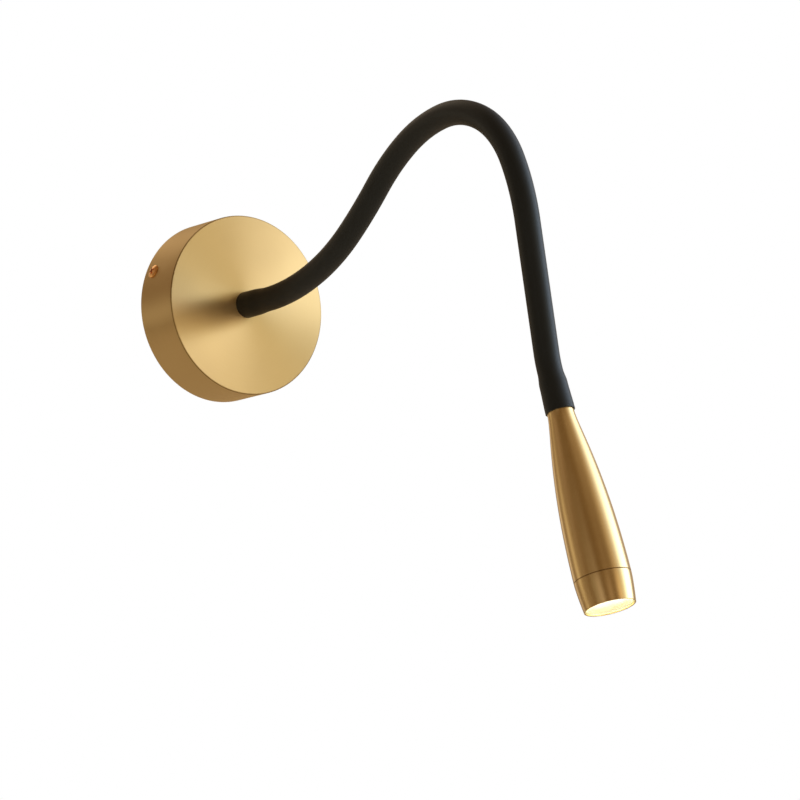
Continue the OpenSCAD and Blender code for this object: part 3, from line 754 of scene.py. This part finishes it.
def makeFrontRing(s):
    radius, front, length, rim, count = s["radius"], s["front"], s["length"], s["rim"], s["ringSteps"]
    back, lip = length + s["play"], front - s["lip"]
    flank = [(radius, length), (radius, length + s["ringBend"] * (front - length)), (s["rimRadius"], front)]
    outside = [(radius - s["seam"], back), (radius, back + s["seam"])]
    outside += [curvePoint(flank, t / count) for t in range(1, count)]
    outside += [(s["rimRadius"] + rim * s["rimEase"], front - rim), (s["rimRadius"] - rim, front)]
    thread, seat = s["threadRadius"] + s["play"], s["threadEnd"] + s["play"]
    inside = [(s["opening"] + rim, front), (s["opening"], front - rim), (s["opening"], lip),
              (s["pocket"], lip), (s["pocket"], seat), (thread, seat), (thread, back)]
    ring = placed("headRing", lathe(outside + inside, s["steps"]), headFrame)
    finishPiece(ring, turnedMetal("ringBrass", headFrame, s["finish"]), "head", "head_brass", "bezel")


makeShell(headSet)
makeFrontRing(headSet)
print("head shell and front ring ready")


reflectorSet = {
    "back": 0.0755, "small": 0.0043, "wall": 0.0008, "skirtBack": 0.09705, "skirtGap": 0.001,
    "mouthInset": 0.0008, "facets": 28, "rows": 11, "corner": 2,
    "silver": (0.95, 0.90, 0.74), "roughness": 0.12, "cellScale": 520.0,
    "glow": (1.0, 0.985, 0.93), "edgeGlow": (0.60, 0.57, 0.29), "shade": (0.38, 0.345, 0.16),
    "glowFrom": 0.0988, "glowTo": 0.1018, "glowStrength": 1.4,
}


# Silvered reflector of flat, sharp-edged facets, glowing from the source and mottled near its front edge
def makeReflector(s, h):
    back, skirt = s["back"], s["skirtBack"]
    front = h["front"] - h["lip"] - h["lens"] - h["gasket"]
    wide, span = h["pocket"] - s["mouthInset"], front - back

    def mirrorRadius(z):
        return math.sqrt(s["small"] ** 2 + (z - back) * (wide ** 2 - s["small"] ** 2) / span)
    rows = [back + span * (i / s["rows"]) for i in range(s["rows"] + 1)]
    inside = [(mirrorRadius(z), z) for z in rows]
    fit = h["pocket"] - h["play"]
    outside = [(fit, front), (fit, skirt), (mirrorRadius(skirt) + s["wall"], skirt)]
    outside += [(mirrorRadius(z) + s["wall"], z) for z in reversed(rows) if z < skirt - s["skirtGap"]]
    piece = placed("facetedReflector", lathe(inside + outside, s["facets"]), headFrame, s["corner"])
    mat, n, l, skin = newMaterial("silvered", s["silver"], s["roughness"], 1.0,
                                  Emission_Strength=s["glowStrength"])
    where = pieceCoords(n, l, headFrame)
    split = n.new("ShaderNodeSeparateXYZ")
    l.new(where, split.inputs[0])
    cells = n.new("ShaderNodeTexVoronoi")
    cells.inputs["Scale"].default_value = s["cellScale"]
    l.new(where, cells.inputs["Vector"])
    mottle = n.new("ShaderNodeSeparateXYZ")
    l.new(cells.outputs["Color"], mottle.inputs[0])
    edge = spread(n, l, split.outputs["Z"], 0.0, 1.0, s["glowFrom"], s["glowTo"])
    facets = spread(n, l, mottle.outputs[0], 0.0, 1.0, 0.0, 1.0)
    glow = mixColors(n, l, edge, s["glow"], s["edgeGlow"])
    l.new(mixColors(n, l, facets, s["shade"], s["edgeGlow"]), glow.node.inputs["B"])
    l.new(glow, skin.inputs["Emission Color"])
    finishPiece(piece, mat, "head", "metallised", "reflector")


lensSet = {
    "edge": 0.0002, "color": (0.98, 1.0, 0.99), "roughness": 0.03, "bending": 1.47,
    "grain": 1400.0, "cloud": 90.0, "roughFrom": 0.02, "roughTo": 0.06,
    "rimFrom": 0.0106, "rimTo": 0.0121, "rimStrength": 0.55,
}


# Clear pane whose edge catches the light of the mirror behind it
def makeLens(s, h, mirror):
    front, fit, edge = h["front"] - h["lip"], h["pocket"] - h["play"], s["edge"]
    back = front - h["lens"]
    outline = [(0, back), (fit - edge, back), (fit, back + edge), (fit, front - edge), (fit - edge, front),
               (0, front)]
    lens = placed("clearLens", lathe(outline, h["steps"], False), headFrame)
    mat, n, l, skin = newMaterial("clearGlass", s["color"], s["roughness"], 0.0, IOR=s["bending"],
                                  Transmission_Weight=1.0, Emission_Strength=s["rimStrength"])
    where = pieceCoords(n, l, headFrame)
    grain = groupNode(n, "grain", Grain=s["grain"], Cloud=s["cloud"])
    l.new(where, grain.inputs["Vector"])
    l.new(spread(n, l, grain.outputs["Cloud"], s["roughFrom"], s["roughTo"]), skin.inputs["Roughness"])
    rim = spread(n, l, flattened(n, l, where)[1], 0.0, 1.0, s["rimFrom"], s["rimTo"])
    lit = operator(n, "VectorMath", "SCALE")
    l.new(mixColors(n, l, grain.outputs["Grain"], mirror["shade"], mirror["edgeGlow"]), lit.inputs[0])
    l.new(rim, lit.inputs["Scale"])
    l.new(lit.outputs[0], skin.inputs["Emission Color"])
    finishPiece(lens, mat, "head", "clear_glass", "lens")


makeReflector(reflectorSet, headSet)
makeLens(lensSet, headSet, reflectorSet)
print("reflector and lens ready")


neckLengths = range(neckSet["joints"] + 1)

# Finishes of the carried-over pieces behind the plate, in the neck and in the head
nodeFinishes = {
    "zincSteel": (("wall_bracket", "flat_washer", "toothed_washer", "earth_screw", "board_screws"),
                  {"color": (0.66, 0.68, 0.70), "dark": (0.50, 0.51, 0.50), "roughness": 0.34,
                   "metallic": 1.0, "grain": 700.0, "cloud": 180.0, "bump": 0.10}),
    "fittingSteel": (("base_fitting", "head_fitting"),
                     {"color": (0.62, 0.62, 0.63), "dark": (0.52, 0.52, 0.53), "roughness": 0.28,
                      "metallic": 1.0, "grain": 1200.0, "cloud": 120.0, "bump": 0.06}),
    "plainBrass": (("fitting_nut", "terminal_screws"),
                   {"color": (0.72, 0.56, 0.30), "dark": (0.60, 0.45, 0.22), "roughness": 0.30,
                    "metallic": 1.0, "grain": 900.0, "cloud": 240.0, "bump": 0.08}),
    "whiteNylon": (("cord_grip", "terminal_block"),
                   {"color": (0.80, 0.79, 0.74), "dark": (0.74, 0.73, 0.68), "roughness": 0.42,
                    "grain": 1100.0, "cloud": 90.0, "bump": 0.12}),
    "driverCase": (("led_driver",),
                   {"color": (0.82, 0.82, 0.80), "dark": (0.78, 0.78, 0.76), "roughness": 0.50,
                    "grain": 2200.0, "cloud": 50.0, "bump": 0.22}),
    "foamPad": (("driver_pad",),
                {"color": (0.055, 0.055, 0.06), "dark": (0.03, 0.03, 0.034), "roughness": 0.90,
                 "grain": 1500.0, "cloud": 400.0, "bump": 0.60}),
    "blueWire": (("supply_wires",),
                 {"color": (0.05, 0.16, 0.42), "dark": (0.04, 0.13, 0.36), "roughness": 0.38,
                  "grain": 1500.0, "cloud": 120.0, "bump": 0.05}),
    "whiteLead": (tuple(f"neck_lead_{i}" for i in neckLengths),
                  {"color": (0.80, 0.80, 0.78), "dark": (0.75, 0.75, 0.72), "roughness": 0.40,
                   "grain": 1500.0, "cloud": 90.0, "bump": 0.06}),
    "woundSteel": (tuple(f"neck_core_{i}" for i in neckLengths),
                   {"color": (0.50, 0.50, 0.51), "dark": (0.38, 0.38, 0.38), "roughness": 0.36,
                    "metallic": 1.0, "grain": 900.0, "cloud": 200.0, "bump": 0.12}),
    "bareAluminium": (("heat_sink",),
                      {"color": (0.82, 0.83, 0.84), "dark": (0.72, 0.73, 0.74), "roughness": 0.30,
                       "metallic": 1.0, "grain": 1100.0, "cloud": 150.0, "bump": 0.08}),
    "whiteBoard": (("led_board",),
                   {"color": (0.85, 0.86, 0.84), "dark": (0.80, 0.81, 0.80), "roughness": 0.32,
                    "grain": 900.0, "cloud": 120.0, "bump": 0.05}),
    "paleSilicone": (("lens_gasket",),
                     {"color": (0.82, 0.80, 0.70), "dark": (0.76, 0.74, 0.62), "roughness": 0.45,
                      "grain": 1500.0, "cloud": 120.0, "bump": 0.10}),
}
phosphorSet = {
    "color": (1.0, 0.86, 0.30), "dark": (0.98, 0.80, 0.22), "light": (1.0, 0.95, 0.82),
    "roughness": 0.6, "strength": 4.0, "grain": 2500.0, "cloud": 700.0,
}


def dressNodes(finishes):
    for name, (nodes, s) in finishes.items():
        mat = grainedSkin(name, s)
        for node in nodes:
            dress(cad[node], mat)


# Yellow coating of the light source, glowing a little unevenly
def dressEmitter(s):
    mat, n, l, skin = newMaterial("phosphor", s["color"], s["roughness"], Emission_Strength=s["strength"])
    grain = groupNode(n, "grain", Grain=s["grain"], Cloud=s["cloud"])
    l.new(pieceCoords(n, l), grain.inputs["Vector"])
    l.new(mixColors(n, l, grain.outputs["Grain"], s["dark"], s["color"]), skin.inputs["Base Color"])
    l.new(mixColors(n, l, grain.outputs["Cloud"], s["color"], s["light"]), skin.inputs["Emission Color"])
    dress(cad["led_emitter"], mat)


dressNodes(nodeFinishes)
dressEmitter(phosphorSet)
print("carried-over pieces dressed")
